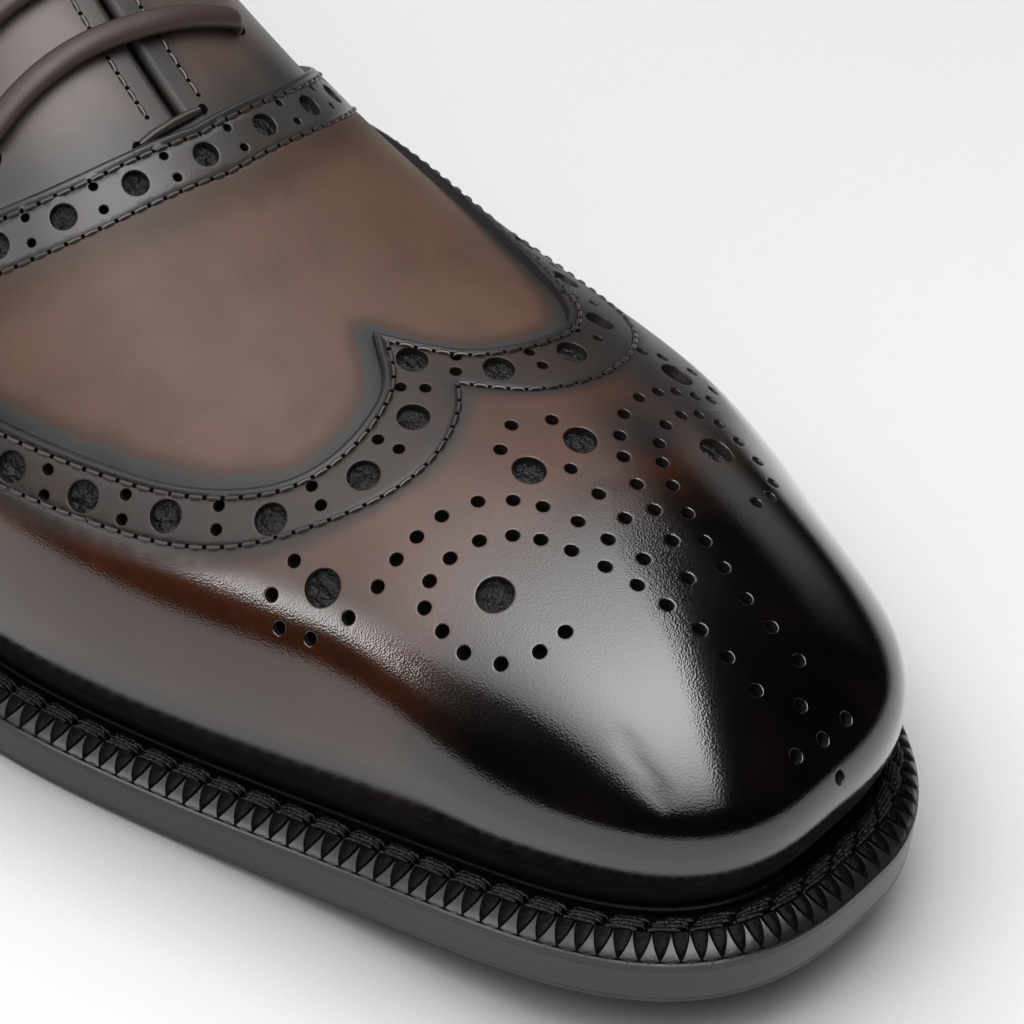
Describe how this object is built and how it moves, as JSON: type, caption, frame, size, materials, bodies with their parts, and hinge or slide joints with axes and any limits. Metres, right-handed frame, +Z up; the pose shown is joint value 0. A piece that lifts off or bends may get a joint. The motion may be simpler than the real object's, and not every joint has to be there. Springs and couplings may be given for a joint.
{
  "type": "brogue oxford shoe",
  "caption": "Hollow wing-tip brogue oxford for the right foot, burnished brown leather, closed lacing, notched welt, leather sole and stacked heel, standing empty.",
  "frame": {"origin": "on the floor below the middle of the shoe's box", "axes": "+X to the toe, +Y to the inner (medial) side, +Z up"},
  "size_m": [0.3036, 0.1076, 0.106],
  "materials": {
    "quarter_leather": "polished, burnished dark along the seams",
    "vamp_leather": "polished, burnished dark along the seams",
    "wing_leather": "high polish, nearly black at the toe",
    "tongue_leather": "satin",
    "insole_leather": "matt",
    "welt_leather": "waxed",
    "outsole_leather": "waxed edge",
    "heel_leather": "waxed edge",
    "top_lift_rubber": "matt",
    "lace_cotton": "waxed cotton"
  },
  "bodies": {
    "root": {"upper": "quarter_leather", "vamp": "vamp_leather", "wing_cap": "wing_leather", "tongue": "tongue_leather", "insole": "insole_leather", "welt": "welt_leather", "outsole": "outsole_leather", "heel_stack": "heel_leather", "heel_top_lift": "top_lift_rubber", "lace_bar_1": "lace_cotton", "lace_bar_2": "lace_cotton", "lace_bar_3": "lace_cotton", "lace_bar_4": "lace_cotton", "lace_bar_5": "lace_cotton"}
  },
  "joints": []
}
